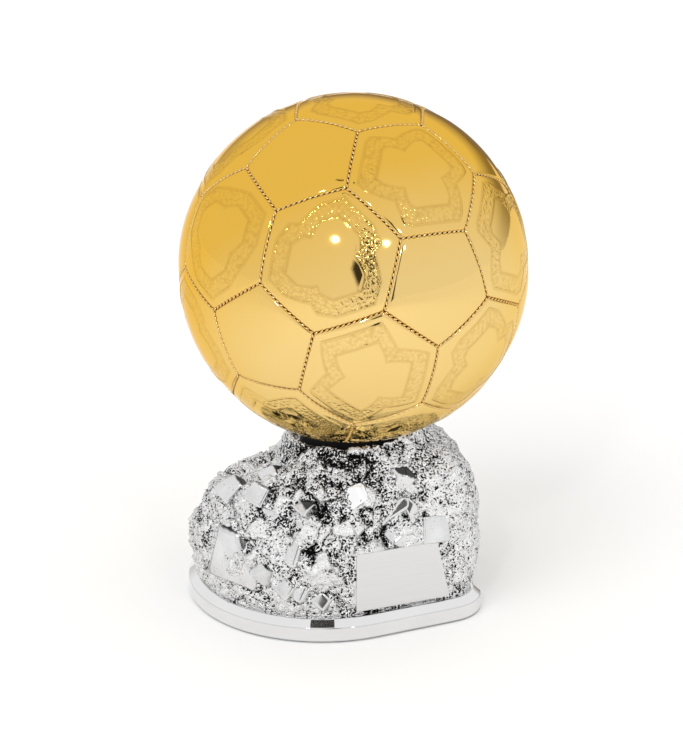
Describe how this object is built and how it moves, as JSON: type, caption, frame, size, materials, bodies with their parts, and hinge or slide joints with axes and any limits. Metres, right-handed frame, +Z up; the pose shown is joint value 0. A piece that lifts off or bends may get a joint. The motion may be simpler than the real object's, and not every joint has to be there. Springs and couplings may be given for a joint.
{
  "type": "football trophy",
  "caption": "Gilt football with stitched panels on a black collar, standing on a cast silver rock with a blank name plate and a polished plinth.",
  "frame": {"origin": "on the table, straight below the centre of the ball: the bottom centre of the bounding box", "axes": "+Z up along the tie rod; the name plate faces -Y"},
  "size_m": [0.21, 0.21, 0.314],
  "materials": {
    "gilding": "mirror-polished gold plating over a pressed shell",
    "silvered_rock": "hollow aluminium casting, plated bright, rough, with dark antiqued hollows",
    "polished_plinth": "polished aluminium, silver-coloured",
    "brushed_plate": "finely brushed along its width, blank",
    "black_enamel": "satin black enamel",
    "brass": "turned, unpolished",
    "steel": "zinc-plated",
    "adhesive": "foam adhesive sheet",
    "cover_board": "black board",
    "felt": "dark green felt"
  },
  "bodies": {
    "root": {"ball_upper_shell": "gilding", "ball_lower_shell": "gilding", "ball_joining_ring": "brass", "ball_boss": "brass", "seat_collar": "black_enamel", "collar_dowels": "steel", "tie_rod": "steel", "rock_casting": "silvered_rock", "rock_inserts": "brass", "name_plate": "brushed_plate", "plate_adhesive": "adhesive", "ballast_disc": "steel", "rod_flat_washer": "steel", "rod_lock_washer": "steel", "rod_nut": "steel", "plinth": "polished_plinth", "plinth_screws": "steel", "plinth_screw_washers": "steel", "base_cover": "cover_board", "cover_screws": "steel", "felt_pad": "felt"}
  },
  "joints": []
}
